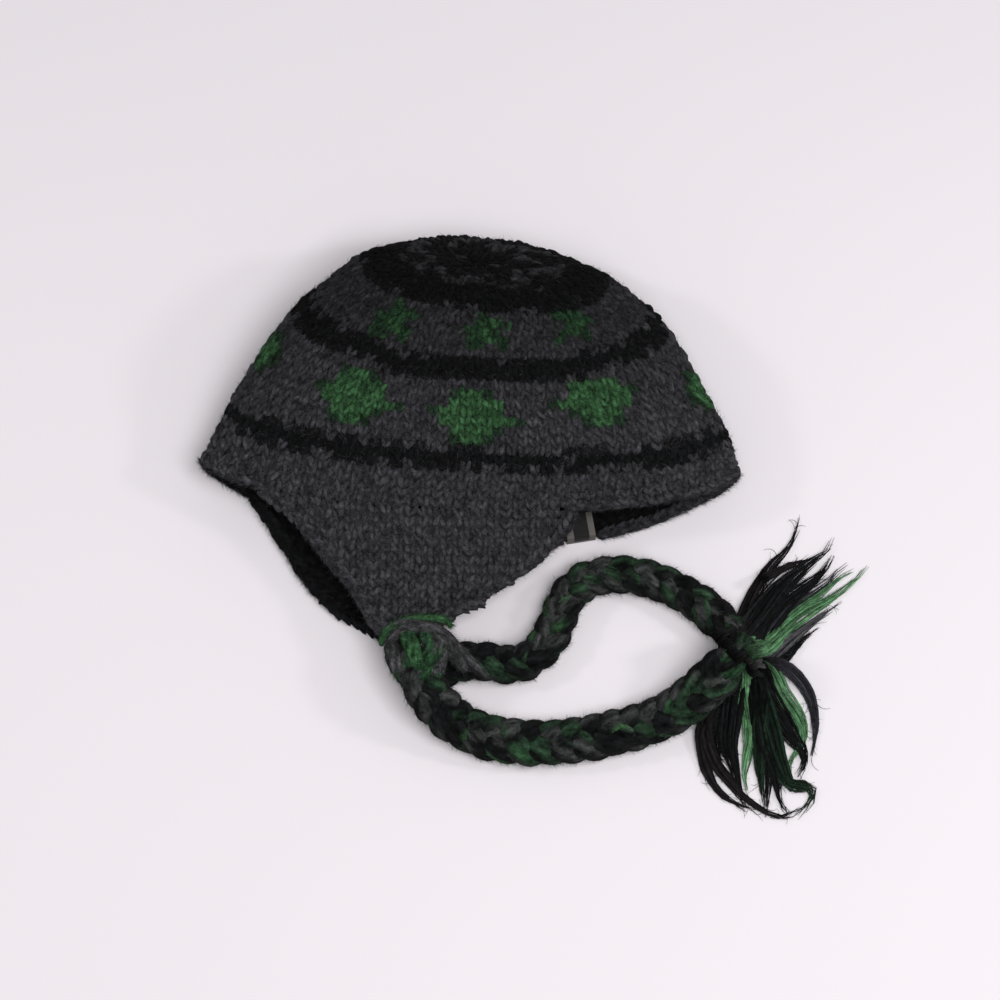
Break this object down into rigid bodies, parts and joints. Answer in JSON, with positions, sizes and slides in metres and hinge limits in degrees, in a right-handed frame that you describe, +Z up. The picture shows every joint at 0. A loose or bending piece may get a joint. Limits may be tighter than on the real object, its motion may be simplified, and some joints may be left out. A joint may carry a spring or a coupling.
{
  "type": "chullo hat",
  "caption": "Bulky knitted wool hat with ear flaps and long braided ties that end in tassels, lying on its side.",
  "frame": {"origin": "on the table, under the middle of the box that holds the crown and ear flaps, ties and tassels left out", "axes": "+Z up from the table that the hat lies on, +Y from the mouth towards the closed crown, +X across the mouth, to the right of a viewer who faces the mouth"},
  "size_m": [0.345, 0.3028, 0.0874],
  "materials": {
    "knit": "fuzzy bulky wool, charcoal grey with black bands and green diamonds knitted in",
    "label_cloth": "woven satin tape, grey, folded",
    "braid_yarn": "fuzzy felted yarn, charcoal, black and green strands braided",
    "tassel_yarn": "loose wool locks, black, green and grey"
  },
  "bodies": {
    "root": {"crown": "knit", "ear_flap_near": "knit", "ear_flap_far": "knit", "label": "label_cloth", "tie_root_near": "braid_yarn", "tie_root_far": "braid_yarn", "tie_near": "braid_yarn", "tie_far": "braid_yarn", "tassel_near": "tassel_yarn", "tassel_far": "tassel_yarn"}
  },
  "joints": []
}
